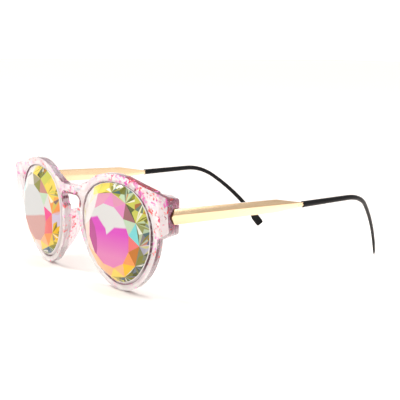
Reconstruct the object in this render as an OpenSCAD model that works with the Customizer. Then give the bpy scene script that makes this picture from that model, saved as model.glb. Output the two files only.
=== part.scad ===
// Kaleidoscope glasses: a clear front with two faceted crystals and two folding metal temples.
// Millimetres. +X is the wearer's left, the front looks towards -Y, the floor is at Z = 0.
// The origin is on the floor, at the middle of the whole object's length and width.

/* [Lens openings] */
// Distance between the middles of the two openings
lens_spacing = 67; // [64:0.1:70]
// Width of one opening
opening_w = 48.2; // [46:0.1:49]
// Height of one opening
opening_h = 44.8; // [43:0.1:46]
// How far the upper corners of an opening swell out
corner_swell = 1; // [0:0.1:1.4]

/* [Front] */
// Width of the rim below and beside an opening
rim_w = 2.5; // [2:0.1:3]
// Width of the rim above an opening
brow_w = 3.5; // [3:0.1:4.4]
// Thickness of the front from face to back
front_t = 3; // [2.8:0.1:3.6]
// Angle by which each half of the front turns back towards its temple
wrap_angle = 6; // [4:0.5:8]
// Angle by which the top of the front leans forward
face_tilt = 4; // [2:0.5:6]

/* [Bridge] */
// Half width of the flat top of the keyhole
keyhole_flat = 4.85; // [4:0.05:5.5]
// Radius of the keyhole's round sides
keyhole_r = 3.2; // [2.6:0.1:3.4]
// Height of the keyhole's top above the middle of the lenses
keyhole_top = 12.4; // [11:0.1:13]
// Height of the bridge from the keyhole to its upper edge
bridge_h = 4.3; // [3.6:0.1:5]

/* [End pieces] */
// Distance from the middle of a lens to the end piece's side
end_reach = 34.2; // [33:0.1:36]
// Thickness of the end piece from face to back
end_t = 5.8; // [5.4:0.1:6.8]
// Height of the end piece's upper corner above the middle of the lenses
end_top = 18.3; // [17.8:0.1:19.4]
// Height of the end piece's lower corner above the middle of the lenses
end_bottom = 3.8; // [3.2:0.1:4.6]
// Radius of the end piece's outer corners
end_corner_r = 1.1; // [0.6:0.1:1.6]
// Distance from the middle of a lens to the thicker part of the end piece
end_block_reach = 26.9; // [26.6:0.1:28]
// How far the end piece's back lies below its face
end_sink = 1.2; // [0.8:0.1:1.6]

/* [Crystals] */
// Number of sides of the flat table
facets = 12; // [12:4:16]
// Radius of the table's corners
table_r = 13.9; // [12:0.1:15]
// How far the table stands in front of the frame
table_rise = 4.4; // [3.8:0.1:5.4]
// Radius of the ring of corners round the table
crown_r = 18.7; // [17.5:0.1:19.5]
// How far that ring stands in front of the frame
crown_rise = 2.9; // [2.4:0.1:3.4]
// How far the crystal's edge lies behind the frame's face
edge_recess = 0.6; // [0.3:0.1:0.8]
// Thickness of the tongue that holds the crystal in the rim's groove
tongue_t = 1.1; // [0.8:0.1:1.3]
// How far the tongue reaches into the rim
tongue_reach = 0.7; // [0.4:0.1:0.9]

/* [Nose pads] */
// How far a pad reaches behind the front
pad_reach = 6; // [4:0.1:7]
// Thickness of a pad
pad_t = 2.2; // [1.8:0.1:2.4]
// How far the back edge of a pad spreads away from the nose
pad_splay = 1.2; // [0.5:0.1:2]
// Angle round the rim at which a pad begins
pad_from = 172; // [165:1:178]
// Angle round the rim down to which a pad keeps its full reach
pad_full = 199; // [190:1:210]
// Angle round the rim at which a pad ends
pad_to = 246; // [225:1:255]

/* [Temple bars] */
// Height of the bar above its ridge
bar_up = 2.3; // [2:0.1:2.8]
// Height of the bar below its ridge at the front
bar_down = 4; // [3.4:0.1:4.2]
// Height of the bar below its ridge where it starts to taper
bar_down_back = 3.3; // [2.6:0.1:3.6]
// Thickness of the bar at its ridge
bar_t = 2; // [1.8:0.1:2.4]
// Thickness of the bar at its upper and lower edges
bar_edge_t = 1.1; // [0.9:0.1:1.4]
// How far the ridge stands out from the end piece's side
bar_proud = 1.2; // [0.8:0.1:1.4]
// Length of the bar before its taper
bar_l = 58.5; // [45:0.5:65]
// Length of the taper
taper_l = 16; // [12:0.5:20]
// Depth of the pointed front end
point_l = 1.9; // [1:0.1:2.4]
// Diameter of the core wire behind the taper
wire_d = 1.8; // [1.6:0.1:2]
// Length of the core wire inside the tip
wire_l = 26; // [15:0.5:30]
// Angle by which a temple runs inwards
temple_in = 2.6; // [1:0.1:4]
// Angle by which a temple runs down
temple_drop = 1.4; // [0.5:0.1:2.5]

/* [Temple tips] */
// Height of the tip at its mouth
mouth_h = 2.9; // [2.7:0.1:3.4]
// Thickness of the tip at its mouth
mouth_t = 2.7; // [2.5:0.1:3.2]
// Length of the straight part of the tip
tip_straight = 29; // [28:0.5:34]
// Angle at which the straight part runs inwards
sleeve_in = 1.1; // [0.5:0.1:3]
// Angle at which the straight part runs up
sleeve_rise = 0.9; // [0:0.1:1.5]
// Radius of the bend behind the ear
bend_r = 23.5; // [16:0.5:26]
// Angle at which the tip runs down behind the bend
tip_drop = 35; // [32:1:40]
// Angle at which the tip runs inwards behind the bend
tip_in = 27.5; // [20:0.5:29]
// Angle at which the tip runs down at its end
end_drop = 52; // [45:1:55]
// Angle at which the tip runs inwards at its end
end_in = 34; // [30:1:36]
// Height of the flat paddle at the end
paddle_h = 4.4; // [3:0.1:5]
// Thickness of the paddle
paddle_t = 1.4; // [1.2:0.1:2]
// Length of the paddle
paddle_l = 9; // [6:0.5:12]

/* [Hinges] */
// Radius of the hinge knuckles
knuckle_r = 1.2; // [1.1:0.05:1.3]
// Height of the three knuckles together
hinge_h = 4.6; // [4:0.1:5]
// Diameter of the hinge screw's shank
screw_d = 1.2; // [1:0.1:1.3]
// Diameter of the screw's head
screw_head_d = 2.2; // [2:0.1:2.3]
// Height of the screw's head
screw_head_h = 0.6; // [0.5:0.1:0.8]
// How far the pointed end of a bar lies in front of the hinge axis
bar_lead = 6; // [5.6:0.1:6.4]
// Width of the anchor plate inside the end piece
anchor_w = 4.4; // [3.6:0.1:5]
// Thickness of the anchor plate and of the leaf on the bar
plate_t = 0.8; // [0.6:0.1:1]
// Depth of the anchor plate behind the end piece's back face
anchor_depth = 2.2; // [1.6:0.1:2.6]
// Length of the leaf on the bar
leaf_l = 7; // [5:0.5:9]

/* [Fits] */
// Gap round a crystal and a hinge plate
seat_gap = 0.1; // [0.05:0.05:0.15]
// Gap round the hinge screw
pin_gap = 0.05; // [0.03:0.01:0.08]
// Gap between two knuckles
knuckle_gap = 0.1; // [0.1:0.05:0.2]
// Gap between a bar's pointed end and the end piece
notch_gap = 0.25; // [0.2:0.05:0.4]
// Gap between the knuckles and the plates beside them
hinge_gap = 0.3; // [0.25:0.05:0.5]

/* [Hidden] */

$fn = 48;
outline_n = 96;
cut = 40;
eps = 0.01;

// The opening's outline: an oval whose radius swells at its two upper corners.
opening_mean = (opening_w + opening_h) / 4;
opening_flat = (opening_w - opening_h) / 4;
function opening_radius(a) = opening_mean + opening_flat * cos(2 * a) + corner_swell * sin(3 * a);
function rim_radius(a) = opening_radius(a) + rim_w + (brow_w - rim_w) * pow((1 + sin(a)) / 2, 2);
function polar(r, a) = [r * cos(a), r * sin(a)];
function opening_points(grow) = [for (i = [0 : outline_n - 1])
    polar(opening_radius(i * 360 / outline_n) + grow, i * 360 / outline_n)];
function rim_points() = [for (i = [0 : outline_n - 1])
    polar(rim_radius(i * 360 / outline_n), i * 360 / outline_n)];
function arc_points(c, r, a0, a1, n) = [for (i = [0 : n]) c + polar(r, a0 + (a1 - a0) * i / n)];

// A half of the front is drawn flat on its own face: X outwards, Y up, Z forward of the face.
// The face then wraps back, stands on the floor and leans forward.
lens_x = lens_spacing / 2;
lens_z = rim_radius(270);
function lean(p) = [p.x, p.y * cos(face_tilt) - p.z * sin(face_tilt),
                    p.y * sin(face_tilt) + p.z * cos(face_tilt)];
function face_xyz(u, v, h) = lean([lens_x + u * cos(wrap_angle) + h * sin(wrap_angle),
                                   u * sin(wrap_angle) - h * cos(wrap_angle), lens_z + v]);
module on_face() {
    rotate([face_tilt, 0, 0]) translate([lens_x, 0, lens_z]) rotate([0, 0, wrap_angle])
        rotate([90, 0, 0]) children();
}

// The bridge bends on an arc between the two flat halves.
bridge_r = keyhole_flat / sin(wrap_angle);
bridge_u = (keyhole_flat - lens_x) / cos(wrap_angle);
bridge_top = keyhole_top + bridge_h;
bridge_cy = (keyhole_flat - lens_x) * tan(wrap_angle) + bridge_r * cos(wrap_angle);
keyhole_c = [bridge_u, keyhole_top - keyhole_r];
nose_u = -rim_radius(180);

// The brow runs straight from above the lens to the end piece's upper corner.
brow_u = 18;
brow_v = rim_radius(90) - 3;
function brow_line(u) = brow_v + (end_top - brow_v) * (u - brow_u) / (end_reach - brow_u);

// The hinge sits behind the end piece, at half its height where the bar meets it.
hinge_v = (end_top + end_bottom) / 2 - 0.8 * end_sink;
side_x = face_xyz(end_reach, hinge_v, -end_t / 2).x;
bar_x = side_x + bar_proud - bar_t;
hinge_x = bar_x - (hinge_gap + knuckle_r + bar_lead * sin(temple_in)) / cos(temple_in);
hinge_u = (hinge_x - lens_x + end_t * sin(wrap_angle)) / cos(wrap_angle);
end_back = face_xyz(hinge_u, hinge_v, -end_t);
hinge_y = end_back.y + 2 * hinge_gap + knuckle_r;
hinge_z = end_back.z;
knuckle_h = (hinge_h - 2 * knuckle_gap) / 3;
bore_r = screw_d / 2 + pin_gap;

// A temple bar has its own straight frame: X out of its flat back, Y along it, Z from its ridge.
// The ridge runs a little above the middle of the bar's height.
half_h = (bar_up + bar_down) / 2;
ridge_lift = half_h - bar_up;
bar_o = [bar_x, hinge_y - bar_lead, hinge_z + ridge_lift + bar_lead * tan(temple_drop)];
function bar_xyz(p) = let (q = [p.x, p.y * cos(temple_drop) + p.z * sin(temple_drop),
                                -p.y * sin(temple_drop) + p.z * cos(temple_drop)])
    bar_o + [q.x * cos(temple_in) - q.y * sin(temple_in),
             q.x * sin(temple_in) + q.y * cos(temple_in), q.z];
module on_bar() {
    translate(bar_o) rotate([0, 0, temple_in]) rotate([-temple_drop, 0, 0]) children();
}
wire_z = -1;
wire_x = bar_t / 2;
bar_end = bar_l + taper_l;

// The tip goes straight on behind the bar, bends round the ear and curves down to the floor.
// The wire inside it is bent a little at the tip's mouth.
function heading(inward, down) = [-sin(inward) * cos(down), cos(inward) * cos(down), -sin(down)];
function unit(p) = p / norm(p);
function across(a, b) = unit(b - (a * b) * a);
function turned(a, b, t) = cos(t) * a + sin(t) * across(a, b);
function swept(a, b, t) = sin(t) * a + (1 - cos(t)) * across(a, b);
along = heading(sleeve_in, -sleeve_rise);
away = heading(tip_in, tip_drop);
last = heading(end_in, end_drop);
bend_angle = acos(along * away);
curve_angle = acos(away * last);
mouth_p = bar_xyz([wire_x, bar_end, wire_z]);
bend_p = mouth_p + tip_straight * along;
drop_p = bend_p + bend_r * swept(along, away, bend_angle);
side_dir = unit(cross(last, [0, 0, 1]));
flat_dir = cross(side_dir, last);
end_low = (paddle_h / 2) * flat_dir.z * 0.75;
curve_r = (drop_p.z - end_low - paddle_l * sin(end_drop)) / -swept(away, last, curve_angle).z;
paddle_p = drop_p + curve_r * swept(away, last, curve_angle);
module on_tip() {
    translate(mouth_p) rotate([0, 0, sleeve_in]) rotate([sleeve_rise, 0, 0]) children();
}

// Middle of the object's length, between the crystals' foremost corner and the tips' last one.
table_c = -corner_swell;
facet_turn = 8.7;
table_ys = [for (i = [0 : facets - 1]) let (p = polar(table_r, facet_turn + i * 360 / facets))
    face_xyz(p.x, p.y + table_c, table_rise).y];
front_y = min(table_ys);
back_y = (paddle_p + paddle_l * last).y + abs(side_dir.y) * paddle_t / 4 + flat_dir.y * paddle_h * 0.375;
mid_y = (front_y + back_y) / 2;

module placed(side) {
    translate([0, -mid_y, 0]) mirror([side < 0 ? 1 : 0, 0, 0]) children();
}

// A closed skin over rings of points that all have the same number of corners.
module skin(rings) {
    n = len(rings[0]);
    m = len(rings);
    points = [for (r = rings) each r];
    sides = [for (j = [0 : m - 2], i = [0 : n - 1]) let (k = (i + 1) % n)
        each [[j * n + i, (j + 1) * n + k, (j + 1) * n + i], [j * n + i, j * n + k, (j + 1) * n + k]]];
    first = [for (i = [n - 1 : -1 : 0]) i];
    last = [for (i = [0 : n - 1]) (m - 1) * n + i];
    polyhedron(points, concat(sides, [first, last]), convexity = 6);
}

// The end piece's outline has round outer corners, and a foot that flows into the rim.
foot_l = 3.2;
foot_v = end_bottom - foot_l;
function end_points(inner_u, foot) = let (c = end_corner_r, r = end_reach - c, v = end_bottom - foot,
                                          f = max(inner_u, rim_radius(0)))
    concat([[inner_u, brow_line(inner_u)]],
           arc_points([r, brow_line(r) - c], c, 80, 0, 5),
           arc_points([r, end_bottom + c], c, 0, -60, 5),
           [[f + 1.4, v + 0.2 * foot], [f + 0.3, v], [inner_u, v]]);

// The end piece runs back and a little down from its face. Its foot stays in the rim's thickness,
// its inner side slopes to the rim, and its back face is square to the temple.
module end_piece() {
    slope_l = 3;
    back_lean = 5;
    heel = 0.4;
    skin([for (q = [[end_t, slope_l, heel, tan(back_lean)], [front_t, 0, foot_l, 0], [0, 0, foot_l, 0]])
        [for (p = end_points(end_block_reach + q[1], q[2]))
            [p.x, p.y - end_sink * q[0] / end_t, -q[0] - (p.y - hinge_v) * q[3]]]]);
}

// A half's outline: the rim, the brow with the end piece, and the web beside the keyhole.
module half_outline() {
    top_v = rim_radius(90);
    lap = 1;
    polygon(rim_points());
    difference() {
        union() {
            polygon([[0, top_v], [8, top_v - 0.6], [brow_u, brow_v],
                     [end_block_reach, brow_line(end_block_reach)], [end_block_reach + lap, end_bottom + lap],
                     [end_block_reach, foot_v], [brow_u, foot_v], [brow_u, 10], [0, 10]]);
        }
        translate([0, table_c]) circle(r = opening_mean - 1);
    }
    polygon(concat(
        arc_points(keyhole_c, keyhole_r, 90, -80, 16),
        [[nose_u - 0.5, 3.4], [nose_u + 0.6, -2], [nose_u + 2.2, -2],
         [nose_u + 6.8, 10], [nose_u + 6.8, bridge_top + 2.7], [nose_u + 4.4, bridge_top + 1.8],
         [nose_u + 1.3, bridge_top + 0.4], [bridge_u, bridge_top]]));
}

module half_front() {
    on_face() {
        difference() {
            union() {
                translate([0, 0, -front_t]) linear_extrude(front_t) half_outline();
                end_piece();
            }
            translate([0, 0, -cut / 2]) linear_extrude(cut) polygon(opening_points(0));
            translate([0, 0, -(front_t + tongue_t) / 2 - seat_gap])
                linear_extrude(tongue_t + 2 * seat_gap)
                polygon(opening_points(tongue_reach + seat_gap));
        }
    }
}

// The notch in the end piece's side lets in the pointed end of the bar, with a gap all round.
module end_notch() {
    g = notch_gap;
    lead = g * norm([point_l, half_h]) / half_h;
    corner_y = point_l * (1 + g / half_h) - lead;
    on_bar() translate([-hinge_gap, 0, 0]) rotate([90, 0, 90]) linear_extrude(cut)
        polygon([[-lead, -ridge_lift], [corner_y, bar_up + g], [cut, bar_up + g],
                 [cut, -bar_down - g], [corner_y, -bar_down - g]]);
}

// The anchor plate lies inside the end piece, and its foot comes out through the back face.
module anchor(grow) {
    y0 = end_back.y - anchor_depth - plate_t;
    translate([hinge_x - anchor_w + knuckle_r / 2 - grow, y0 - grow, hinge_z - hinge_h / 2 - grow])
        cube([anchor_w + 2 * grow, plate_t + 2 * grow, hinge_h + 2 * grow]);
    translate([hinge_x - knuckle_r * 0.7 - grow, y0, hinge_z - hinge_h / 2 - grow])
        cube([knuckle_r * 1.4 + 2 * grow, hinge_y - knuckle_r - hinge_gap - y0,
              hinge_h + 2 * grow]);
}

// The bend reaches a little way into each flat half, and lies just under its faces there.
module bridge_bend() {
    lap = 1.5;
    under = 0.03;
    sweep = wrap_angle + asin(lap / bridge_r);
    rotate([face_tilt, 0, 0]) translate([0, bridge_cy, lens_z + keyhole_top])
        rotate([0, 0, -90 - sweep]) rotate_extrude(angle = 2 * sweep, $fn = 360)
        translate([bridge_r - front_t + under, under])
        square([front_t - 2 * under, bridge_h - 2 * under]);
}

module frame_front() {
    color([0.96, 0.8, 0.86, 0.6]) placed(1) {
        bridge_bend();
        for (s = [0, 1]) mirror([s, 0, 0]) difference() {
            half_front();
            end_notch();
            anchor(seat_gap);
        }
    }
}

// A crystal: a flat table, a ring of triangles round it, a steep outer ring and a flat body.
module lens(side) {
    step = 360 / facets;
    table = [for (i = [0 : facets - 1]) let (p = polar(table_r, facet_turn + i * step))
        [p.x, p.y + table_c, table_rise]];
    crown = [for (i = [0 : facets - 1]) let (p = polar(crown_r, facet_turn + (i + 0.5) * step))
        [p.x, p.y + table_c, crown_rise]];
    girdle = [for (i = [0 : 2 * facets - 1]) let (a = facet_turn + (i + 1) * step / 2)
        let (p = polar(opening_radius(a) - seat_gap, a)) [p.x, p.y, -edge_recess]];
    back = [for (p = girdle) [p.x, p.y, -front_t]];
    n = facets;
    triangles = [for (i = [0 : n - 1]) let (j = (i + 1) % n, g = 2 * n + 2 * i,
                                             g2 = 2 * n + 2 * j, gm = g + 1)
        each [[i, n + i, j], [j, n + i, n + j], [n + i, g, gm], [n + i, gm, n + j],
              [n + j, gm, g2]]];
    edge = [for (i = [0 : 2 * n - 1]) let (j = (i + 1) % (2 * n))
        [2 * n + i, 4 * n + i, 4 * n + j, 2 * n + j]];
    bottom = [for (i = [0 : 2 * n - 1]) 4 * n + i];
    top = [for (i = [n - 1 : -1 : 0]) i];
    color([0.85, 0.6, 0.8, 0.8]) placed(side) on_face() {
        polyhedron(concat(table, crown, girdle, back), concat(triangles, edge, [top, bottom]));
        translate([0, 0, -(front_t + tongue_t) / 2]) linear_extrude(tongue_t)
            polygon(opening_points(tongue_reach));
    }
}

// A nose pad is a wing on the back of the rim's nose side, which thins out towards its foot.
// Its section has a flat foot on the rim and a rounded back edge.
pad_section = [[0, -0.5], [0.55, -0.48], [0.85, -0.36], [1, -0.14],
               [1, 0.14], [0.85, 0.36], [0.55, 0.48], [0, 0.5]];
function pad_ring(a, reach, t) = let (r = rim_radius(a) - rim_w / 2)
    [for (q = pad_section) let (p = polar(r - pad_splay * q[0] + t * q[1], a))
        [p.x, p.y, -front_t - reach * q[0]]];

module nose_pad(side) {
    n = 6;
    full = [for (k = [0.2, 1]) pad_ring(pad_from + (pad_full - pad_from) * k, pad_reach, pad_t)];
    foot = [for (i = [1 : n]) let (k = i / n, a = pad_full + (pad_to - pad_full) * k)
        pad_ring(a, pad_reach * (1 - 0.92 * k), pad_t * (1 - 0.4 * k))];
    color([0.98, 0.9, 0.93, 0.6]) placed(side) on_face()
        skin(concat([pad_ring(pad_from, 0.8 * pad_reach, 0.8 * pad_t)], full, foot));
}

module hinge_front(side) {
    color([0.7, 0.7, 0.72]) placed(side) difference() {
        union() {
            anchor(0);
            for (z = [-hinge_h / 2, hinge_h / 2 - knuckle_h]) {
                translate([hinge_x, hinge_y, hinge_z + z]) cylinder(h = knuckle_h, r = knuckle_r);
                translate([hinge_x - knuckle_r * 0.7, hinge_y - knuckle_r - hinge_gap - eps,
                           hinge_z + z])
                    cube([knuckle_r * 1.4, knuckle_r + hinge_gap, knuckle_h]);
            }
        }
        translate([hinge_x, hinge_y, hinge_z - cut / 2]) cylinder(h = cut, r = bore_r);
    }
}

module hinge_screw(side) {
    top = hinge_z + hinge_h / 2;
    slot_w = 0.32;
    color([0.75, 0.75, 0.76]) placed(side) difference() {
        union() {
            translate([hinge_x, hinge_y, top - hinge_h]) cylinder(h = hinge_h + eps, d = screw_d);
            translate([hinge_x, hinge_y, top]) cylinder(h = screw_head_h, d = screw_head_d);
        }
        translate([hinge_x - screw_head_d, hinge_y - slot_w / 2, top + screw_head_h / 2])
            cube([2 * screw_head_d, slot_w, screw_head_h]);
    }
}

// The leaf lies flat on the bar's inner side, and an arm holds its knuckle between the other two.
module hinge_temple(side) {
    arm_l = 3;
    leaf_y = bar_lead + knuckle_r + hinge_gap;
    color([0.8, 0.7, 0.5]) placed(side) difference() {
        union() {
            translate([hinge_x, hinge_y, hinge_z - knuckle_h / 2])
                cylinder(h = knuckle_h, r = knuckle_r);
            intersection() {
                translate([hinge_x, hinge_y - knuckle_r * 0.7, hinge_z - knuckle_h / 2])
                    cube([cut, cut, knuckle_h]);
                on_bar() translate([-2 * knuckle_r, 0, -cut / 2])
                    cube([2 * knuckle_r, leaf_y + arm_l, cut]);
            }
            on_bar() translate([-plate_t, leaf_y, -ridge_lift - hinge_h / 2])
                cube([plate_t, leaf_l, hinge_h]);
        }
        translate([hinge_x, hinge_y, hinge_z - cut / 2]) cylinder(h = cut, r = bore_r);
    }
}

// A bar is a rolled strip with a ridge along its outer side, tapered to a round core wire.
module temple_bar(side) {
    lap = 3;
    color([0.85, 0.72, 0.5]) placed(side) {
        on_bar() intersection() {
            rotate([90, 0, 90]) linear_extrude(bar_t)
                polygon([[0, -ridge_lift], [point_l, bar_up], [bar_l, bar_up],
                         [bar_end, wire_z + wire_d / 2], [bar_end, wire_z - wire_d / 2],
                         [bar_l, -bar_down_back], [point_l, -bar_down]]);
            translate([0, bar_end, 0]) rotate([90, 0, 0]) linear_extrude(bar_end)
                polygon([[0, bar_up], [bar_edge_t, bar_up], [bar_t, 0],
                         [bar_edge_t, -bar_down], [0, -bar_down]]);
        }
        on_tip() translate([0, -lap, 0]) rotate([-90, 0, 0]) cylinder(h = wire_l + lap, d = wire_d);
    }
}

// The section of a tip: a rounded flat shape that stays upright along the tip.
function tip_ring(c, dir, h, t) = let (s = unit(cross(dir, [0, 0, 1])), f = cross(s, dir))
    [for (i = [0 : 15]) let (a = i * 22.5) c + s * (t / 2) * cos(a) + f * (h / 2) * sin(a)];
function blend(a, b, k) = a + (b - a) * k;

module temple_tip(side) {
    neck_d = 2.5;
    shaft_h = 2.1;
    shaft_t = 1.8;
    curve_t = 1.55;
    mouth_gap = 0.1;
    bend_n = 8;
    curve_n = 6;
    straight = [for (q = [[mouth_gap, 0], [tip_straight / 2, 0.5], [tip_straight, 1]])
        tip_ring(mouth_p + q[0] * along, along, blend(mouth_h, neck_d, q[1]), blend(mouth_t, neck_d, q[1]))];
    bend = [for (i = [1 : bend_n]) let (k = i / bend_n, a = k * bend_angle)
        tip_ring(bend_p + bend_r * swept(along, away, a), turned(along, away, a),
                 blend(neck_d, shaft_h, k), blend(neck_d, shaft_t, k))];
    curve = [for (i = [1 : curve_n]) let (k = i / curve_n, a = k * curve_angle)
        tip_ring(drop_p + curve_r * swept(away, last, a), turned(away, last, a),
                 blend(shaft_h, shaft_h + 0.3, k), blend(shaft_t, curve_t, k))];
    paddle = [for (q = [[0.4 * paddle_l, paddle_h, paddle_t], [paddle_l - 1.5, paddle_h, paddle_t],
                        [paddle_l - 0.4, paddle_h * 0.92, paddle_t * 0.8],
                        [paddle_l, paddle_h * 0.75, paddle_t * 0.5]])
        tip_ring(paddle_p + q[0] * last, last, q[1], q[2])];
    color([0.08, 0.08, 0.08]) placed(side) difference() {
        skin(concat(straight, bend, curve, paddle));
        on_tip() translate([0, -1, 0]) rotate([-90, 0, 0])
            cylinder(h = wire_l + 1 + seat_gap, d = wire_d + 2 * pin_gap);
    }
}

frame_front();
lens(1);  // lens_left
lens(-1);  // lens_right
nose_pad(1);  // nose_pad_left
nose_pad(-1);  // nose_pad_right
hinge_front(1);  // hinge_front_left
hinge_front(-1);  // hinge_front_right
hinge_screw(1);  // hinge_screw_left
hinge_screw(-1);  // hinge_screw_right
hinge_temple(1);  // hinge_temple_left
hinge_temple(-1);  // hinge_temple_right
temple_bar(1);  // temple_bar_left
temple_bar(-1);  // temple_bar_right
temple_tip(1);  // temple_tip_left
temple_tip(-1);  // temple_tip_right
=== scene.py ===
from math import atan2, cos, degrees, hypot, pi, radians, sin

import bpy
from mathutils import Matrix, Vector


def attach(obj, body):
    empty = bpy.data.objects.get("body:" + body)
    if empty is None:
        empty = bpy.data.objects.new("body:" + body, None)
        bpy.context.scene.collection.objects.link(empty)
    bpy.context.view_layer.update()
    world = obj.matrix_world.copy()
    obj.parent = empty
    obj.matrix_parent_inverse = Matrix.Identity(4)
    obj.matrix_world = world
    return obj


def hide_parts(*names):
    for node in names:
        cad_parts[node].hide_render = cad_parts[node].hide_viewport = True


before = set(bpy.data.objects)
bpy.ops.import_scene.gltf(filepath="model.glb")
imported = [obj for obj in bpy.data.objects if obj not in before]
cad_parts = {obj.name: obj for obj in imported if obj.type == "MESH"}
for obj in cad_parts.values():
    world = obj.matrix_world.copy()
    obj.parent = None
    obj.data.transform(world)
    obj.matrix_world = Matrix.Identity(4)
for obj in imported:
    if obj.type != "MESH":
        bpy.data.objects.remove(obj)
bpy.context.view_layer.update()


# Studio: a wide floor of warm white paper in a bright room, and a camera close to the glasses,
# a hand's width above the paper. The key light comes from the left, and three lamps fill in.
def deselect_all():
    if bpy.context.object and bpy.context.object.mode != "OBJECT":
        bpy.ops.object.mode_set(mode="OBJECT")
    bpy.ops.object.select_all(action="DESELECT")


def new_material(name):
    material = bpy.data.materials.new(name)
    material.use_nodes = True
    return material, material.node_tree, material.node_tree.nodes["Principled BSDF"]


def add_node(tree, kind, inputs=(), **settings):
    node = tree.nodes.new(kind)
    for key, value in settings.items():
        setattr(node, key, value)
    for key, value in dict(inputs).items():
        if isinstance(value, bpy.types.NodeSocket):
            tree.links.new(value, node.inputs[key])
        else:
            node.inputs[key].default_value = value
    return node


def set_finish(shader, **sockets):
    for name, value in sockets.items():
        shader.inputs[name.replace("_", " ")].default_value = value


camera_place = (0.365371, -0.277193, 0.103942)
camera_turn, camera_dip, camera_roll = 53.047, 9.361, 0.721
camera = bpy.data.objects.new("camera", bpy.data.cameras.new("camera"))
bpy.context.scene.collection.objects.link(camera)
camera.data.sensor_width = 36
camera.data.lens = 83.79
camera.data.clip_start = 0.01
camera.matrix_world = (Matrix.Translation(camera_place)
                       @ Matrix.Rotation(radians(camera_turn), 4, "Z")
                       @ Matrix.Rotation(radians(90 - camera_dip), 4, "X")
                       @ Matrix.Rotation(radians(camera_roll), 4, "Z"))
bpy.context.scene.camera = camera

deselect_all()
bpy.ops.mesh.primitive_plane_add(size=12, location=(0, 0, -0.0002))
floor = bpy.context.object
floor.name = "studio_floor"
bpy.ops.object.mode_set(mode="EDIT")
bpy.ops.mesh.select_all(action="SELECT")
bpy.ops.mesh.subdivide(number_cuts=3)
bpy.ops.object.mode_set(mode="OBJECT")
bpy.ops.object.transform_apply(location=True, rotation=True, scale=True)

material, tree, shader = new_material("studio_paper")
where = add_node(tree, "ShaderNodeTexCoord")
grain = add_node(tree, "ShaderNodeTexNoise", {"Vector": where.outputs["Object"], "Scale": 900.0})
tone = add_node(tree, "ShaderNodeValToRGB", {"Fac": grain.outputs["Fac"]})
tone.color_ramp.elements[0].color = (0.94, 0.885, 0.85, 1)
tone.color_ramp.elements[1].color = (0.97, 0.915, 0.88, 1)
tree.links.new(tone.outputs["Color"], shader.inputs["Base Color"])
set_finish(shader, Roughness=0.8)
floor.data.materials.append(material)

world = bpy.data.worlds.new("studio_room")
bpy.context.scene.world = world
world.use_nodes = True
sky = world.node_tree
look = add_node(sky, "ShaderNodeTexCoord")
height = add_node(sky, "ShaderNodeSeparateXYZ", {"Vector": look.outputs["Generated"]})
glow = add_node(sky, "ShaderNodeMapRange", {
    "Value": height.outputs["Z"], "From Min": 0.14, "From Max": 0.38, "To Min": 1.25, "To Max": 0.64})
sky.nodes["Background"].inputs["Color"].default_value = (1.0, 0.965, 0.935, 1)
sky.links.new(glow.outputs["Result"], sky.nodes["Background"].inputs["Strength"])

for name, place, aim, wide, high, watts in [
        ("lamp_above", (-0.2, 0.2, 1.3), (0, 0, 0), 1.2, 1.2, 2.5),
        ("lamp_right", (0.55, 0.35, 0.9), (0.15, 0.05, 0), 0.5, 0.5, 2.5)]:
    lamp = bpy.data.objects.new(name, bpy.data.lights.new(name, "AREA"))
    bpy.context.scene.collection.objects.link(lamp)
    lamp.data.shape = "RECTANGLE"
    lamp.data.size = wide
    lamp.data.size_y = high
    lamp.data.energy = watts
    lamp.visible_camera = False
    lamp.location = place
    lamp.rotation_euler = (Vector(aim) - Vector(place)).to_track_quat("-Z", "Y").to_euler()

# the key light comes from far off at the left, and a narrow lamp brightens the paper beside the
# bars, which mirror it
key_light = bpy.data.objects.new("key_light", bpy.data.lights.new("key_light", "SUN"))
bpy.context.scene.collection.objects.link(key_light)
key_light.data.energy = 2.2
key_light.data.angle = radians(22)
key_light.rotation_euler = Vector((1.0, 0.62, -1.2)).to_track_quat("-Z", "Y").to_euler()
narrow_lamp = bpy.data.objects.new("lamp_bars", bpy.data.lights.new("lamp_bars", "SPOT"))
bpy.context.scene.collection.objects.link(narrow_lamp)
narrow_lamp.data.energy = 22
narrow_lamp.data.spot_size = radians(18)
narrow_lamp.data.spot_blend = 0.35
narrow_lamp.data.shadow_soft_size = 0.1
narrow_lamp.location = (0.08, 0.06, 0.8)

bpy.context.scene.view_settings.view_transform = "Standard"


# Front: one moulded piece of clear plastic, polished, with its edges rounded in the tumbler.
# Pink and red paint is splattered into it, thickest at the end pieces and along the brow. The cut walls
# of the openings, the rounded edges and the keyhole are painted dark: painted shade for the light that
# leaves the plastic there.
def take_up(piece):
    deselect_all()
    piece.select_set(True)
    bpy.context.view_layer.objects.active = piece


def clean_copy(node, name):
    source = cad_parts[node]
    piece = bpy.data.objects.new(name, source.data.copy())
    bpy.context.scene.collection.objects.link(piece)
    piece.data.materials.clear()
    take_up(piece)
    bpy.ops.mesh.customdata_custom_splitnormals_clear()
    bpy.ops.object.mode_set(mode="EDIT")
    bpy.ops.mesh.select_all(action="SELECT")
    bpy.ops.mesh.remove_doubles(threshold=0.000002)
    bpy.ops.mesh.dissolve_limited(angle_limit=radians(0.4))
    bpy.ops.object.mode_set(mode="OBJECT")
    return piece


def round_edges(piece, width, sharper_than):
    take_up(piece)
    bevel = piece.modifiers.new("rounding", "BEVEL")
    bevel.width = width
    bevel.segments = 2
    bevel.limit_method = "ANGLE"
    bevel.angle_limit = radians(sharper_than)
    bevel.use_clamp_overlap = True
    bpy.ops.object.modifier_apply(modifier=bevel.name)
    bpy.ops.object.shade_smooth_by_angle(angle=radians(30))


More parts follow.
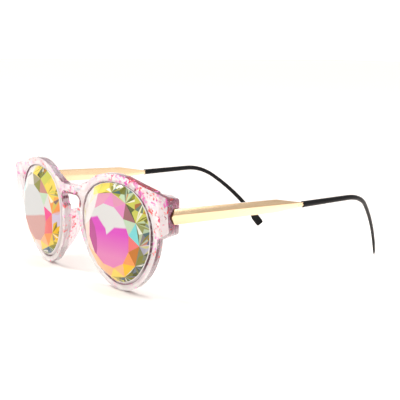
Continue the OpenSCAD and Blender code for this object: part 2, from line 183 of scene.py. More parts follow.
def new_group(name, inputs, outputs):
    group = bpy.data.node_groups.new(name, "ShaderNodeTree")
    for way, sockets in (("INPUT", inputs), ("OUTPUT", outputs)):
        for socket, kind in sockets.items():
            group.interface.new_socket(socket, in_out=way, socket_type="NodeSocket" + kind)
    return group, group.nodes.new("NodeGroupInput").outputs, group.nodes.new("NodeGroupOutput").inputs


def use_group(tree, group, inputs):
    node = tree.nodes.new("ShaderNodeGroup")
    node.node_tree = group
    for key, value in inputs.items():
        if isinstance(value, bpy.types.NodeSocket):
            tree.links.new(value, node.inputs[key])
        else:
            node.inputs[key].default_value = value
    return node.outputs


def add_stops(node, stops, blend="CONSTANT"):
    ramp = node.color_ramp
    ramp.interpolation = blend
    ramp.elements[0].position, ramp.elements[0].color = stops[0]
    ramp.elements[1].position, ramp.elements[1].color = stops[1]
    for position, color in stops[2:]:
        ramp.elements.new(position).color = color


def mix_colors(tree, mask, under, over):
    mixed = add_node(tree, "ShaderNodeMix", {"Factor": mask}, data_type="RGBA")
    for key, value in (("A", under), ("B", over)):
        if isinstance(value, bpy.types.NodeSocket):
            tree.links.new(value, mixed.inputs[key])
        else:
            mixed.inputs[key].default_value = value
    return mixed.outputs["Result"]


# paint flecks, in clusters, crisp at their edges, in a handful of colours
splatter, given, result = new_group(
    "paint_splatter", {"Vector": "Vector", "Density": "Float"},
    {"Fleck": "Float", "Paint": "Color", "Pool": "Float"})
blot = add_node(splatter, "ShaderNodeTexNoise", {
    "Vector": given["Vector"], "Scale": 620.0, "Detail": 3.0, "Roughness": 0.6, "Distortion": 0.5})
cluster = add_node(splatter, "ShaderNodeTexNoise", {
    "Vector": given["Vector"], "Scale": 150.0, "Detail": 1.0})
pull = add_node(splatter, "ShaderNodeMapRange", {
    "Value": cluster.outputs["Fac"], "From Min": 0.35, "From Max": 0.65,
    "To Min": -0.06, "To Max": 0.05})
level = add_node(splatter, "ShaderNodeMapRange", {
    "Value": given["Density"], "To Min": 0.67, "To Max": 0.47})
dense = add_node(splatter, "ShaderNodeMath", {0: blot.outputs["Fac"], 1: pull.outputs["Result"]},
                 operation="ADD")
over = add_node(splatter, "ShaderNodeMath", {0: dense.outputs[0], 1: level.outputs["Result"]},
                operation="SUBTRACT")
edge = add_node(splatter, "ShaderNodeMapRange", {"Value": over.outputs[0], "From Max": 0.007})
splatter.links.new(edge.outputs["Result"], result["Fleck"])
cells = add_node(splatter, "ShaderNodeTexVoronoi", {"Vector": given["Vector"], "Scale": 260.0})
pick = add_node(splatter, "ShaderNodeSeparateColor", {"Color": cells.outputs["Color"]})
paint = add_node(splatter, "ShaderNodeValToRGB", {"Fac": pick.outputs["Red"]})
add_stops(paint, [(0, (0.95, 0.03, 0.03, 1)), (0.25, (0.9, 0.1, 0.55, 1)),
                  (0.55, (1.0, 0.02, 0.12, 1)), (0.7, (0.95, 0.3, 0.65, 1)),
                  (0.86, (0.35, 0.01, 0.04, 1)), (0.94, (0.5, 0.65, 0.68, 1))])
splatter.links.new(paint.outputs["Color"], result["Paint"])
deep = add_node(splatter, "ShaderNodeTexNoise", {
    "Vector": given["Vector"], "Scale": 110.0, "Detail": 3.0, "Roughness": 0.6, "Distortion": 0.5})
pool = add_node(splatter, "ShaderNodeMapRange", {
    "Value": deep.outputs["Fac"], "From Min": 0.59, "From Max": 0.62})
splatter.links.new(pool.outputs["Result"], result["Pool"])

# painted shade: dark streaks along the rim, painted where a wall would bend the light
shade_streaks, given, result = new_group(
    "painted_refraction_streaks", {"Vector": "Vector", "Amount": "Float"}, {"Streak": "Float"})
stretch = add_node(shade_streaks, "ShaderNodeMapping", {"Vector": given["Vector"], "Scale": (70, 1100, 70)})
lines = add_node(shade_streaks, "ShaderNodeTexNoise", {
    "Vector": stretch.outputs["Vector"], "Scale": 1.0, "Detail": 3.0, "Roughness": 0.6})
shift = add_node(shade_streaks, "ShaderNodeMath", {0: lines.outputs["Fac"], 1: given["Amount"]},
                 operation="ADD")
reach = add_node(shade_streaks, "ShaderNodeMapRange", {
    "Value": shift.outputs[0], "From Min": 0.93, "From Max": 1.07})
shade_streaks.links.new(reach.outputs["Result"], result["Streak"])

# painted shade: the wall of the keyhole, as it looks through the face, drawn as a dark line round its
# top and sides
keyhole_half_flat = 0.00485
keyhole_middle_z = 0.0348
line_starts, line_ends = 0.0039, 0.0043
foot_starts, foot_ends = 0.0325, 0.0335
keyhole, given, result = new_group("painted_keyhole_shade", {"Vector": "Vector"}, {"Line": "Float"})
place = add_node(keyhole, "ShaderNodeSeparateXYZ", {"Vector": given["Vector"]})
half = add_node(keyhole, "ShaderNodeMath", {0: place.outputs["X"]}, operation="ABSOLUTE")
past_flat = add_node(keyhole, "ShaderNodeMath", {0: half.outputs[0], 1: keyhole_half_flat},
                     operation="SUBTRACT")
round_part = add_node(keyhole, "ShaderNodeMath", {0: past_flat.outputs[0], 1: 0.0}, operation="MAXIMUM")
over_middle = add_node(keyhole, "ShaderNodeMath", {0: place.outputs["Z"], 1: keyhole_middle_z},
                       operation="SUBTRACT")
offset = add_node(keyhole, "ShaderNodeCombineXYZ", {
    "X": round_part.outputs[0], "Y": over_middle.outputs[0]})
away = add_node(keyhole, "ShaderNodeVectorMath", {0: offset.outputs[0]}, operation="LENGTH")
within = add_node(keyhole, "ShaderNodeMapRange", {
    "Value": away.outputs["Value"], "From Min": line_ends, "From Max": line_starts})
above_foot = add_node(keyhole, "ShaderNodeMapRange", {
    "Value": place.outputs["Z"], "From Min": foot_starts, "From Max": foot_ends})
arched = add_node(keyhole, "ShaderNodeMath", {
    0: within.outputs["Result"], 1: above_foot.outputs["Result"]}, operation="MULTIPLY")
keyhole.links.new(arched.outputs[0], result["Line"])

# the plastic: flecks is the share of paint at the bare places and at the thick ones, low_part two
# heights and the colour below them, and tints the colours from the middle out to the ends; these
# colours hold painted shade where walls and edges turn dark, besides the paint's own stain, and the
# streak colour is that of the painted shade streaks
burgundy = (0.36, 0.02, 0.05, 1)


def clear_plastic(name, flecks, low_part, tints, streak_shade_color, streak_amount, clearness,
                  pools=0.0, line=0.0):
    material, tree, shader = new_material(name)
    where = add_node(tree, "ShaderNodeTexCoord").outputs["Object"]
    axes = add_node(tree, "ShaderNodeSeparateXYZ", {"Vector": where})
    out = add_node(tree, "ShaderNodeMath", {0: axes.outputs["X"]}, operation="ABSOLUTE")
    outwards = add_node(tree, "ShaderNodeMapRange", {"Value": out.outputs[0], "From Max": 0.07})
    stain_and_shade = add_node(tree, "ShaderNodeValToRGB", {"Fac": outwards.outputs["Result"]})
    add_stops(stain_and_shade, tints, "LINEAR")
    raised = add_node(tree, "ShaderNodeMapRange", {
        "Value": axes.outputs["Z"], "From Min": low_part[0], "From Max": low_part[1]})
    side = add_node(tree, "ShaderNodeMapRange", {
        "Value": out.outputs[0], "From Min": 0.018, "From Max": 0.05, "To Min": 0.2})
    high = add_node(tree, "ShaderNodeMapRange", {
        "Value": axes.outputs["Z"], "From Min": 0.02, "From Max": 0.044})
    far_end = add_node(tree, "ShaderNodeMapRange", {
        "Value": axes.outputs["X"], "From Min": -0.055, "From Max": -0.03, "To Min": 0.4})
    both = add_node(tree, "ShaderNodeMath", {0: side.outputs["Result"], 1: high.outputs["Result"]},
                    operation="MULTIPLY")
    uneven = add_node(tree, "ShaderNodeMath", {0: both.outputs[0], 1: far_end.outputs["Result"]},
                      operation="MULTIPLY")
    bridge = add_node(tree, "ShaderNodeMapRange", {
        "Value": out.outputs[0], "From Min": 0.012, "From Max": 0.006, "To Max": 1.0})
    thick = add_node(tree, "ShaderNodeMath", {0: uneven.outputs[0], 1: bridge.outputs["Result"]},
                     operation="MAXIMUM")
    density = add_node(tree, "ShaderNodeMapRange", {
        "Value": thick.outputs[0], "To Min": flecks[0], "To Max": flecks[1]})
    spots = use_group(tree, splatter, {"Vector": where, "Density": density.outputs["Result"]})
    # painted shade in streaks, for the light that the walls bend
    refraction_shade = use_group(tree, shade_streaks, {"Vector": where, "Amount": streak_amount})
    shade = mix_colors(tree, raised.outputs["Result"], low_part[2], stain_and_shade.outputs["Color"])
    tint = mix_colors(tree, refraction_shade["Streak"], shade, streak_shade_color)
    pooled = add_node(tree, "ShaderNodeMath", {0: spots["Pool"], 1: pools}, operation="MULTIPLY")
    under = mix_colors(tree, pooled.outputs[0], tint, burgundy)
    # painted shade round the keyhole, as much of it as line asks for
    keyhole_shade = use_group(tree, keyhole, {"Vector": where})
    ringed = add_node(tree, "ShaderNodeMath", {0: keyhole_shade["Line"], 1: line}, operation="MULTIPLY")
    under = mix_colors(tree, ringed.outputs[0], under, (0.26, 0.07, 0.11, 1))
    color = mix_colors(tree, spots["Fleck"], under, spots["Paint"])
    tree.links.new(color, shader.inputs["Base Color"])
    dull = add_node(tree, "ShaderNodeMapRange", {
        "Value": spots["Fleck"], "To Min": 0.03, "To Max": 0.3})
    tree.links.new(dull.outputs["Result"], shader.inputs["Roughness"])
    set_finish(shader, Transmission_Weight=clearness, IOR=1.47, Coat_Weight=0.2, Coat_Roughness=0.03)
    return material


front = clean_copy("frame_front", "front")
round_edges(front, width=0.00045, sharper_than=32)
for plastic in [
        clear_plastic(
            "speckled_face", flecks=(0.14, 0.72), low_part=(0.02, 0.04, (1, 0.99, 0.99, 1)),
            tints=[(0, (1, 0.96, 0.97, 1)), (1, (1, 0.95, 0.97, 1))],
            streak_shade_color=(0.93, 0.8, 0.86, 1), streak_amount=0.4, clearness=0.42, line=1.0),
        # the rounded edges: painted shade, dark along every edge and darker up high, with burgundy and
        # teal-grey paint at the end pieces
        clear_plastic(
            "speckled_edge_painted_shade", flecks=(0.1, 0.5), low_part=(0.036, 0.041, (0.42, 0.29, 0.34, 1)),
            tints=[(0, (0.25, 0.08, 0.13, 1)), (0.14, (0.28, 0.1, 0.16, 1)),
                   (0.2, (0.34, 0.28, 0.33, 1)), (0.62, (0.3, 0.22, 0.27, 1)),
                   (0.66, (0.3, 0.03, 0.06, 1)), (0.84, (0.25, 0.02, 0.04, 1)),
                   (0.87, (0.14, 0.18, 0.2, 1)), (1, (0.1, 0.11, 0.14, 1))],
            streak_shade_color=(0.1, 0.03, 0.06, 1), streak_amount=0.45, clearness=0.2, pools=0.6),
        # the outer walls: painted shade, darkest at the keyhole and at the end pieces and paler low
        # down, with paint pools
        clear_plastic(
            "outer_wall", flecks=(0.15, 0.55), low_part=(0.029, 0.033, (0.97, 0.93, 0.95, 1)),
            tints=[(0, (0.5, 0.2, 0.3, 1)), (0.13, (0.6, 0.35, 0.43, 1)),
                   (0.18, (0.88, 0.78, 0.83, 1)), (0.62, (0.75, 0.62, 0.68, 1)),
                   (0.85, (0.6, 0.45, 0.52, 1)), (0.89, (0.46, 0.22, 0.34, 1)),
                   (1, (0.42, 0.16, 0.25, 1))],
            streak_shade_color=(0.36, 0.16, 0.24, 1), streak_amount=0.42, clearness=0.75, pools=0.5),
        # the walls of the openings: painted shade, dark towards the temples and up high, with dark
        # streaks
        clear_plastic(
            "opening_wall_painted_shade", flecks=(0.05, 0.2), low_part=(0.006, 0.012, (0.95, 0.92, 0.93, 1)),
            tints=[(0, (0.96, 0.93, 0.94, 1)), (0.42, (0.95, 0.92, 0.93, 1)),
                   (0.6, (0.42, 0.26, 0.33, 1))],
            streak_shade_color=(0.16, 0.06, 0.1, 1), streak_amount=0.45, clearness=0.45),
        clear_plastic(
            "paint_pool", flecks=(0.1, 0.3), low_part=(0.0, 0.01, burgundy),
            tints=[(0, burgundy), (0.83, (0.3, 0.015, 0.04, 1)), (0.86, (0.3, 0.36, 0.38, 1))],
            streak_shade_color=(0.16, 0.02, 0.04, 1), streak_amount=0.45, clearness=0.15),
        clear_plastic(
            "nose_wall", flecks=(0.1, 0.4), low_part=(0.029, 0.033, (0.99, 0.93, 0.95, 1)),
            tints=[(0, (0.93, 0.76, 0.83, 1)), (1, (0.95, 0.86, 0.9, 1))],
            streak_shade_color=(0.8, 0.6, 0.68, 1), streak_amount=0.42, clearness=0.5)]:
    front.data.materials.append(plastic)

# the plane of each lens, from the sizes of the solids: the face leans and wraps round the head
tilt = radians(4)
wrap = radians(6)
front_y = -0.069905
lens_x = 0.0335
lens_z = 0.0259


def face_matrix(side):
    there = (Matrix.Translation((0, front_y, 0)) @ Matrix.Rotation(tilt, 4, "X")
             @ Matrix.Translation((lens_x, 0, lens_z)) @ Matrix.Rotation(wrap, 4, "Z")
             @ Matrix.Rotation(radians(90), 4, "X"))
    return Matrix.Scale(side, 4, (1, 0, 0)) @ there


onto_face = {side: face_matrix(side).inverted() for side in (1, -1)}

# each face of the front takes the plastic that fits its place, in the order of the list above
face_slot, edge_slot, wall_slot, opening_slot, pool_slot, nose_slot = range(6)
rim_reach = 0.0265
brow_starts, brow_ends = 0.046, 0.0605
nose_reach = 0.0135
for face in front.data.polygons:
    side = 1 if face.center.x > 0 else -1
    flat = onto_face[side] @ face.center
    across = (onto_face[side].to_3x3() @ face.normal).normalized()
    facing = abs(across.z)
    inner = across.x * flat.x + across.y * flat.y < 0 and hypot(flat.x, flat.y) < rim_reach
    brow_top = face.normal.z > 0.6 and brow_starts < abs(face.center.x) < brow_ends
    beside_nose = abs(face.center.x) < nose_reach and face.normal.z < 0.3
    face.material_index = (
        face_slot if facing > 0.97 else edge_slot if facing > 0.2 else opening_slot if inner
        else pool_slot if brow_top else nose_slot if beside_nose else wall_slot)
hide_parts("frame_front")
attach(front, "front")


# Crystals: two thick pieces of cut glass with a rainbow film on the back, pressed into the rims.
# A flat twelve-sided table stands in the middle, twenty-four crown triangles go round it, and the
# steep outer facets break the light into small slivers. The colours that the light takes in the
# facets, its refraction and reflection, are painted onto them.
table_drop = 0.001
crown_limit = 0.0172
outer_limit = 0.0175
crown_tip_radius = 0.0187
crown_turn = 358.8 / 360
busy_from = -0.004
map_width = 0.05
table_ring, crown_ring, outer_ring, back_ring = range(4)

# the opening of the rim: wider than high, and fuller at its upper corners and its foot
opening_radius = 0.02325
opening_wider = 0.00085
opening_fuller = 0.001


def facet_angle(point):
    return degrees(atan2(point.y + table_drop, point.x)) % 360


def facet_place(face, side):
    middle = onto_face[side] @ face.center
    lies = (onto_face[side].to_3x3() @ face.normal).normalized()
    return middle, lies.z, hypot(middle.x, middle.y + table_drop)


def cut_crystal(node, name, side):
    crystal = clean_copy(node, name)
    mesh = crystal.data

    def outer_facet(face):
        middle, flatness, radius = facet_place(face, side)
        return 0.3 < flatness < 0.99 and radius > outer_limit

    def busy_facet(face):
        middle, flatness, radius = facet_place(face, side)
        return outer_facet(face) and side * middle.x > busy_from

    for wanted, rise in ((outer_facet, 0.00012), (busy_facet, 0.00006)):
        take_up(crystal)
        bpy.ops.object.mode_set(mode="EDIT")
        bpy.ops.mesh.select_mode(type="FACE")
        bpy.ops.mesh.select_all(action="DESELECT")
        bpy.ops.object.mode_set(mode="OBJECT")
        for face in mesh.polygons:
            face.select = wanted(face)
        bpy.ops.object.mode_set(mode="EDIT")
        bpy.ops.mesh.poke(offset=rise)
        bpy.ops.object.mode_set(mode="OBJECT")

    # each face knows its ring, its turn and a fixed number of its own, and each point its place
    # between the crown's tips and the opening of the rim
    ring = mesh.attributes.new("ring", "FLOAT", "FACE")
    turn = mesh.attributes.new("turn", "FLOAT", "FACE")
    chip = mesh.attributes.new("chip", "FLOAT", "FACE")
    for face in mesh.polygons:
        middle, flatness, radius = facet_place(face, side)
        ring.data[face.index].value = (
            back_ring if middle.z < -0.0005 and flatness < 0.3 else
            table_ring if flatness > 0.995 else
            crown_ring if radius < crown_limit and flatness > 0 else outer_ring)
        turn.data[face.index].value = facet_angle(middle) / 360
        chip.data[face.index].value = sin(face.index * 12.9898) * 43758.5453 % 1
    edge = mesh.attributes.new("edge", "FLOAT", "POINT")
    flat_map = mesh.uv_layers.new(name="flat")
    for vertex in mesh.vertices:
        spot = onto_face[side] @ vertex.co
        angle = atan2(spot.y, spot.x)
        opening = opening_radius + opening_wider * cos(2 * angle) + opening_fuller * sin(3 * angle)
        edge.data[vertex.index].value = (
            (hypot(spot.x, spot.y) - crown_tip_radius) / (opening - crown_tip_radius))
    for loop in mesh.loops:
        spot = onto_face[side] @ mesh.vertices[loop.vertex_index].co
        flat_map.data[loop.index].uv = (0.5 + spot.x / map_width, 0.5 + spot.y / map_width)
    mesh.uv_layers.active = flat_map
    return crystal


# the colours that the facets show, partly the rainbow coating's own and partly painted refraction and
# reflection, each named once and used for many of them
cyan = (0.21, 0.7, 0.71, 1)
mint = (0.51, 0.67, 0.48, 1)
mauve = (0.33, 0.14, 0.15, 1)
pink = (0.73, 0.25, 0.51, 1)
rose = (0.68, 0.29, 0.42, 1)
blush = (0.8, 0.58, 0.49, 1)
peach = (0.86, 0.47, 0.23, 1)
pale = (0.7, 0.69, 0.67, 1)
salmon = (0.82, 0.18, 0.17, 1)
bronze = (0.53, 0.18, 0.02, 1)
orange = (0.91, 0.33, 0.09, 1)
gold = (0.86, 0.53, 0.02, 1)
yellow = (0.86, 0.67, 0.11, 1)
lime = (0.59, 0.6, 0.11, 1)
olive = (0.23, 0.23, 0.03, 1)
moss = (0.06, 0.07, 0.01, 1)
teal = (0.01, 0.1, 0.17, 1)
slate = (0.17, 0.22, 0.29, 1)
hot_pink = (0.84, 0.08, 0.28, 1)
lilac = (0.67, 0.61, 0.77, 1)
sage = (0.3, 0.27, 0.14, 1)
dusk = (0.52, 0.24, 0.2, 1)
dark_shade = (0.12, 0.05, 0.07, 1)
haze = (0.68, 0.64, 0.66, 1)

# slivers: painted light and shade on the small facets; some are painted dark, some bright, and a few
# get a painted glint
slivers, given, result = new_group(
    "facet_sliver_light_and_shade", {"Chip": "Float", "Chance": "Float"}, {"Mask": "Float", "Color": "Color"})
taken = add_node(slivers, "ShaderNodeMath", {0: given["Chip"], 1: given["Chance"]},
                 operation="LESS_THAN")
slivers.links.new(taken.outputs[0], result["Mask"])
spread = add_node(slivers, "ShaderNodeMath", {0: given["Chip"], 1: 37.0}, operation="MULTIPLY")
drawn = add_node(slivers, "ShaderNodeMath", {0: spread.outputs[0]}, operation="FRACT")
tones = add_node(slivers, "ShaderNodeValToRGB", {"Fac": drawn.outputs[0]})
add_stops(tones, [(0, moss), (0.26, teal), (0.38, olive), (0.6, lime), (0.7, slate), (0.78, mint),
                  (0.86, bronze), (0.93, (0.95, 0.95, 0.85, 1))])
slivers.links.new(tones.outputs["Color"], result["Color"])

# the seat: a painted highlight line and then the wall of the rim in painted shade, as seen through the
# crystal's edge
seat, given, result = new_group(
    "seat_band", {"Flat": "Vector", "Edge": "Float"},
    {"Around": "Float", "Line": "Float", "Wall": "Float"})
spot = add_node(seat, "ShaderNodeSeparateXYZ", {"Vector": given["Flat"]})
across = add_node(seat, "ShaderNodeMath", {0: spot.outputs["X"], 1: 0.5}, operation="SUBTRACT")
upward = add_node(seat, "ShaderNodeMath", {0: spot.outputs["Y"], 1: 0.5}, operation="SUBTRACT")
angle = add_node(seat, "ShaderNodeMath", {0: upward.outputs[0], 1: across.outputs[0]},
                 operation="ARCTAN2")
share = add_node(seat, "ShaderNodeMath", {0: angle.outputs[0], 1: 2 * pi}, operation="DIVIDE")
whole = add_node(seat, "ShaderNodeMath", {0: share.outputs[0]}, operation="FRACT")
seat.links.new(whole.outputs[0], result["Around"])
reach = add_node(seat, "ShaderNodeMapRange", {
    "Value": spot.outputs["Y"], "From Min": 0.5, "From Max": 0.93, "To Min": 0.74, "To Max": 0.88})
past = add_node(seat, "ShaderNodeMath", {0: given["Edge"], 1: reach.outputs["Result"]},
                operation="SUBTRACT")
for name, low, high in (("Line", -0.07, -0.04), ("Wall", 0.0, 0.03)):
    band = add_node(seat, "ShaderNodeMapRange", {
        "Value": past.outputs[0], "From Min": low, "From Max": high})
    seat.links.new(band.outputs["Result"], result[name])


# a line drawn through a few points: its height at each place along it
def drawn_line(tree, along, points):
    line = add_node(tree, "ShaderNodeFloatCurve", {"Value": along})
    curve = line.mapping.curves[0]
    curve.points[0].location = points[0]
    curve.points[1].location = points[-1]
    for place in points[1:-1]:
        curve.points.new(*place)
    for point in curve.points:
        point.handle_type = "VECTOR"
    line.mapping.update()
    return line.outputs["Value"]


def rainbow_glass(name, crown_steps, outer_steps, busy, wall_steps, notch, fields, echo):
    material, tree, shader = new_material(name)
    flat = add_node(tree, "ShaderNodeUVMap", uv_map="flat").outputs["UV"]
    spot = add_node(tree, "ShaderNodeSeparateXYZ", {"Vector": flat})
    ring = add_node(tree, "ShaderNodeAttribute", attribute_name="ring")
    turn = add_node(tree, "ShaderNodeAttribute", attribute_name="turn").outputs["Fac"]
    edge = add_node(tree, "ShaderNodeAttribute", attribute_name="edge").outputs["Fac"]
    band = use_group(tree, seat, {"Flat": flat, "Edge": edge})

    # twenty-four crown triangles, one step of colour each, counted from the temple side upwards
    moved = add_node(tree, "ShaderNodeMath", {0: turn, 1: crown_turn}, operation="ADD")
    counted = add_node(tree, "ShaderNodeMath", {0: moved.outputs[0]}, operation="FRACT")
    crown = add_node(tree, "ShaderNodeValToRGB", {"Fac": counted.outputs[0]})
    add_stops(crown, [(i / 24, color) for i, color in enumerate(crown_steps)])

    # the outer facets: a change of colour round the crystal, broken up by slivers on the busy side
    around = add_node(tree, "ShaderNodeValToRGB", {"Fac": turn})
    add_stops(around, outer_steps, "LINEAR")
    chance = add_node(tree, "ShaderNodeMapRange", {
        "Value": spot.outputs["X"], "From Min": busy[0], "From Max": busy[1],
        "To Min": busy[2], "To Max": busy[3]})
    chip = add_node(tree, "ShaderNodeAttribute", attribute_name="chip").outputs["Fac"]
    broken = use_group(tree, slivers, {"Chip": chip, "Chance": chance.outputs["Result"]})
    soft = add_node(tree, "ShaderNodeMath", {0: broken["Mask"], 1: 0.75}, operation="MULTIPLY")
    outer = mix_colors(tree, soft.outputs[0], around.outputs["Color"], broken["Color"])
    # the seat in the outer ring: the rim wall in painted shade, streaked with painted light, behind a
    # painted bright line
    wall = add_node(tree, "ShaderNodeValToRGB", {"Fac": band["Around"]})
    add_stops(wall, wall_steps, "LINEAR")
    streak = add_node(tree, "ShaderNodeTexNoise", {"Vector": flat, "Scale": 30.0, "Detail": 2.0})
    light = add_node(tree, "ShaderNodeMapRange", {
        "Value": streak.outputs["Fac"], "From Min": 0.5, "From Max": 0.7, "To Max": 0.6})
    streaked = mix_colors(tree, light.outputs["Result"], wall.outputs["Color"], haze)
    outer = mix_colors(tree, band["Line"], outer, (0.84, 0.82, 0.81, 1))
    outer = mix_colors(tree, band["Wall"], outer, streaked)

    # the table: a pale upper field of painted reflection with a notched lower edge, over a pink one
    # with a darker echo of painted shade
    above = add_node(tree, "ShaderNodeMath", {
        0: spot.outputs["Y"], 1: drawn_line(tree, spot.outputs["X"], notch)}, operation="SUBTRACT")
    upper = add_node(tree, "ShaderNodeMapRange", {
        "Value": above.outputs[0], "From Min": -0.004, "From Max": 0.012})
    lower = add_node(tree, "ShaderNodeValToRGB", {"Fac": spot.outputs["Y"]})
    add_stops(lower, [(0.3, fields[1]), (0.52, fields[2])], "LINEAR")
    beside = add_node(tree, "ShaderNodeMath", {
        0: drawn_line(tree, spot.outputs["Y"], echo), 1: spot.outputs["X"]}, operation="SUBTRACT")
    shade = add_node(tree, "ShaderNodeMapRange", {
        "Value": beside.outputs[0], "From Max": 0.005, "To Max": 0.8})
    rim = add_node(tree, "ShaderNodeMapRange", {
        "Value": beside.outputs[0], "From Min": 0.004, "From Max": 0.02, "To Min": 1.0})
    plum_shade = mix_colors(tree, rim.outputs["Result"], (0.66, 0.13, 0.41, 1), (0.4, 0.06, 0.22, 1))
    field = mix_colors(tree, shade.outputs["Result"], lower.outputs["Color"], plum_shade)
    table = mix_colors(tree, upper.outputs["Result"], field, fields[0])

    off_table = add_node(tree, "ShaderNodeMath", {0: ring.outputs["Fac"], 1: table_ring + 0.5},
                         operation="GREATER_THAN")
    at_edge = add_node(tree, "ShaderNodeMath", {0: ring.outputs["Fac"], 1: crown_ring + 0.5},
                       operation="GREATER_THAN")
    inner = mix_colors(tree, off_table.outputs[0], table, crown.outputs["Color"])
    whole = mix_colors(tree, at_edge.outputs[0], inner, outer)

    # the back is coated: a thin film whose colour drifts from silver to pink, gold and green
    drift = add_node(tree, "ShaderNodeTexNoise", {"Vector": flat, "Scale": 2.2, "Detail": 1.0})
    film = add_node(tree, "ShaderNodeValToRGB", {"Fac": drift.outputs["Fac"]})
    add_stops(film, [(0.3, (0.62, 0.72, 0.74, 1)), (0.42, (0.7, 0.6, 0.74, 1)),
                     (0.52, (0.82, 0.6, 0.62, 1)), (0.6, (0.84, 0.74, 0.55, 1)),
                     (0.7, (0.6, 0.78, 0.66, 1))], "EASE")
    behind = add_node(tree, "ShaderNodeMath", {0: ring.outputs["Fac"], 1: outer_ring + 0.5},
                      operation="GREATER_THAN")
    whole = mix_colors(tree, behind.outputs[0], whole, film.outputs["Color"])
    tree.links.new(whole, shader.inputs["Base Color"])
    set_finish(shader, Roughness=0.1, Specular_IOR_Level=0.25, Coat_Weight=0.12, Coat_Roughness=0.02,
               Transmission_Weight=0.08)
    return material


near_crystal = cut_crystal("lens_left", "crystal_left", 1)
near_crystal.data.materials.append(rainbow_glass(
    "rainbow_glass_left",
    crown_steps=[cyan, mint, mauve, pink, rose, pink, rose, rose, pale, pale, pale, blush,
                 blush, blush, peach, peach, peach, peach, yellow, peach, gold, orange, bronze, salmon],
    outer_steps=[
        (0, bronze), (0.02, olive), (0.035, mint), (0.06, lime), (0.1, lime), (0.108, teal),
        (0.118, teal), (0.125, lime), (0.15, lime), (0.16, mint), (0.175, mint), (0.19, lime),
        (0.21, olive), (0.25, olive), (0.265, yellow), (0.34, yellow), (0.365, pale), (0.5, pale),
        (0.62, pale), (0.7, peach), (0.745, yellow), (0.765, yellow), (0.79, moss), (0.83, olive),
        (0.86, moss), (0.9, slate), (0.93, olive), (0.96, slate), (0.985, lilac), (1, mauve)],
    busy=(0.4, 0.6, 0.06, 0.55),
    wall_steps=[
        (0, dark_shade), (0.16, dark_shade), (0.22, mauve), (0.3, dark_shade), (0.46, dark_shade), (0.52, pale),
        (0.66, pale), (0.74, haze), (0.85, haze), (0.91, dark_shade), (1, dark_shade)],
    notch=[(0, 0.62), (0.28, 0.61), (0.36, 0.63), (0.43, 0.562), (0.464, 0.534), (0.47, 0.482),
           (0.528, 0.52), (0.588, 0.56), (1, 0.6)],
    fields=((0.66, 0.67, 0.66, 1), (0.69, 0.21, 0.44, 1), (0.63, 0.055, 0.48, 1)),
    echo=[(0, 0.1), (0.26, 0.27), (0.284, 0.312), (0.344, 0.328), (0.432, 0.332), (0.532, 0.316),
          (0.604, 0.272), (0.63, 0.2), (1, 0.1)]))
far_crystal = cut_crystal("lens_right", "crystal_right", -1)
far_crystal.data.materials.append(rainbow_glass(
    "rainbow_glass_right",
    crown_steps=[pale, pale, cyan, pale, pale, pale, sage, olive, dusk, mint, pale, hot_pink,
                 salmon, salmon, orange, peach, yellow, blush, pale, peach, rose, orange, mint, cyan],
    outer_steps=[
        (0, pale), (0.2, haze), (0.24, yellow), (0.275, yellow), (0.285, moss), (0.3, olive),
        (0.315, lime), (0.35, lime), (0.37, yellow), (0.425, yellow), (0.435, orange),
        (0.475, orange), (0.485, lilac), (0.525, lilac), (0.53, gold), (0.59, gold), (0.6, yellow),
        (0.625, yellow), (0.635, olive), (0.67, teal), (0.7, slate), (0.73, olive), (0.75, yellow),
        (0.82, pale), (1, pale)],
    busy=(0.6, 0.4, 0.05, 0.35),
    wall_steps=[(0, haze), (0.3, (0.6, 0.5, 0.55, 1)), (0.6, haze), (1, haze)],
    notch=[(0, 0.52), (0.2, 0.496), (0.337, 0.477), (0.487, 0.447), (1, 0.36)],
    fields=((0.55, 0.57, 0.57, 1), (0.53, 0.26, 0.23, 1), (0.52, 0.25, 0.22, 1)),
    echo=[(0, 0), (1, 0)]))
for crystal, node in [(near_crystal, "lens_left"), (far_crystal, "lens_right")]:
    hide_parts(node)
    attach(crystal, "front")


# Nose pads: two wings of the same clear plastic, glued on the back of the rims beside the nose.
# They carry less paint, and their back edges are rounded for the skin.
pad_plastic = clear_plastic(
    "pad_plastic", flecks=(0.1, 0.35), low_part=(0.0, 0.01, (1, 0.94, 0.96, 1)),
    tints=[(0, (1, 0.95, 0.97, 1)), (1, (1, 0.92, 0.95, 1))],
    streak_shade_color=(0.9, 0.68, 0.76, 1), streak_amount=0.42, clearness=0.5)
for name in ("nose_pad_left", "nose_pad_right"):
    pad = clean_copy(name, name + "_wing")
    round_edges(pad, width=0.0003, sharper_than=20)
    pad.data.materials.append(pad_plastic)
    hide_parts(name)
    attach(pad, "front")


# Hinges: a steel plate sunk into each end piece with two knuckles behind it, a leaf soldered to
# the temple with the middle knuckle, and a slotted screw through all three.
grain, given, result = new_group(
    "metal_grain", {"Vector": "Vector", "Scale": "Vector"}, {"Line": "Float", "Normal": "Vector"})
stretch = add_node(grain, "ShaderNodeMapping", {"Vector": given["Vector"], "Scale": given["Scale"]})
lines = add_node(grain, "ShaderNodeTexNoise", {
    "Vector": stretch.outputs["Vector"], "Scale": 1.0, "Detail": 4.0, "Roughness": 0.6})
bump = add_node(grain, "ShaderNodeBump", {
    "Height": lines.outputs["Fac"], "Strength": 0.08, "Distance": 0.00005})
grain.links.new(lines.outputs["Fac"], result["Line"])
grain.links.new(bump.outputs["Normal"], result["Normal"])


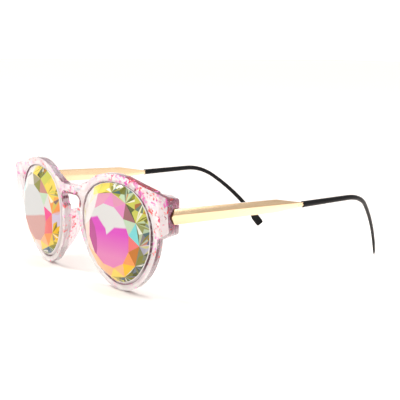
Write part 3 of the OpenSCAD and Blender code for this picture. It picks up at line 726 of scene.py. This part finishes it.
def brushed_metal(name, light, dark, roughness, scale, varnish=0.0):
    material, tree, shader = new_material(name)
    where = add_node(tree, "ShaderNodeTexCoord").outputs["Object"]
    brushed = use_group(tree, grain, {"Vector": where, "Scale": scale})
    tone = add_node(tree, "ShaderNodeValToRGB", {"Fac": brushed["Line"]})
    add_stops(tone, [(0.3, dark), (0.7, light)], "LINEAR")
    tree.links.new(tone.outputs["Color"], shader.inputs["Base Color"])
    rough = add_node(tree, "ShaderNodeMapRange", {
        "Value": brushed["Line"], "To Min": roughness - 0.05, "To Max": roughness + 0.07})
    tree.links.new(rough.outputs["Result"], shader.inputs["Roughness"])
    tree.links.new(brushed["Normal"], shader.inputs["Normal"])
    set_finish(shader, Metallic=1.0, Coat_Weight=varnish, Coat_Roughness=0.08)
    return material


steel = brushed_metal("hinge_steel", (0.62, 0.61, 0.6, 1), (0.5, 0.49, 0.48, 1),
                      roughness=0.28, scale=(900, 900, 200))
gold_leaf = brushed_metal("hinge_gold", (0.86, 0.66, 0.42, 1), (0.76, 0.57, 0.35, 1),
                          roughness=0.3, scale=(900, 200, 900))
for side, temple in [("left", "left_temple"), ("right", "right_temple")]:
    for node, metal, slot, body in [("hinge_front_", steel, "hinge_steel", "front"),
                                    ("hinge_screw_", steel, "hinge_steel", "front"),
                                    ("hinge_temple_", gold_leaf, "gold_metal", temple)]:
        piece = clean_copy(node + side, node + side + "_metal")
        round_edges(piece, width=0.00008, sharper_than=40)
        piece.data.materials.append(metal)
        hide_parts(node + side)
        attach(piece, body)


# Temple bars: rolled strips of gold-coloured metal with a ridge along the outer side, pointed at
# the front and tapered to a wire at the back, where the tip is pushed on.
gold_metal = brushed_metal("gold_metal", (0.88, 0.65, 0.41, 1), (0.83, 0.61, 0.38, 1),
                           roughness=0.24, scale=(1500, 120, 1500), varnish=0.6)
# a dark brown gold for the point: painted shade, for the dark that its polished bevel mirrors
point_shade_metal = brushed_metal("gold_point_painted_shade", (0.42, 0.24, 0.1, 1), (0.3, 0.16, 0.06, 1),
                          roughness=0.4, scale=(1500, 300, 1500))
for side in ("left", "right"):
    bar = clean_copy("temple_bar_" + side, "bar_" + side)
    round_edges(bar, width=0.00015, sharper_than=15)
    bar.data.materials.append(gold_metal)
    bar.data.materials.append(point_shade_metal)
    # the faces that look forward, at the point, take the painted shade
    for face in bar.data.polygons:
        face.material_index = 1 if face.normal.y < -0.5 else 0
    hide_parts("temple_bar_" + side)
    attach(bar, side + "_temple")


# Temple tips: glossy black plastic sleeves, pushed over the wire, bent round the ear and pressed
# flat at the end.
material, tree, shader = new_material("black_plastic")
where = add_node(tree, "ShaderNodeTexCoord")
rub = add_node(tree, "ShaderNodeTexNoise", {
    "Vector": where.outputs["Object"], "Scale": 250.0, "Detail": 5.0})
shine = add_node(tree, "ShaderNodeMapRange", {
    "Value": rub.outputs["Fac"], "To Min": 0.22, "To Max": 0.36})
tree.links.new(shine.outputs["Result"], shader.inputs["Roughness"])
tone = add_node(tree, "ShaderNodeValToRGB", {"Fac": rub.outputs["Fac"]})
tone.color_ramp.elements[0].color = (0.003, 0.003, 0.004, 1)
tone.color_ramp.elements[1].color = (0.009, 0.009, 0.010, 1)
tree.links.new(tone.outputs["Color"], shader.inputs["Base Color"])
set_finish(shader, Specular_IOR_Level=0.12)
for side in ("left", "right"):
    tip = clean_copy("temple_tip_" + side, "tip_" + side)
    bpy.ops.object.shade_smooth_by_angle(angle=radians(50))
    tip.data.materials.append(material)
    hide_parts("temple_tip_" + side)
    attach(tip, side + "_temple")
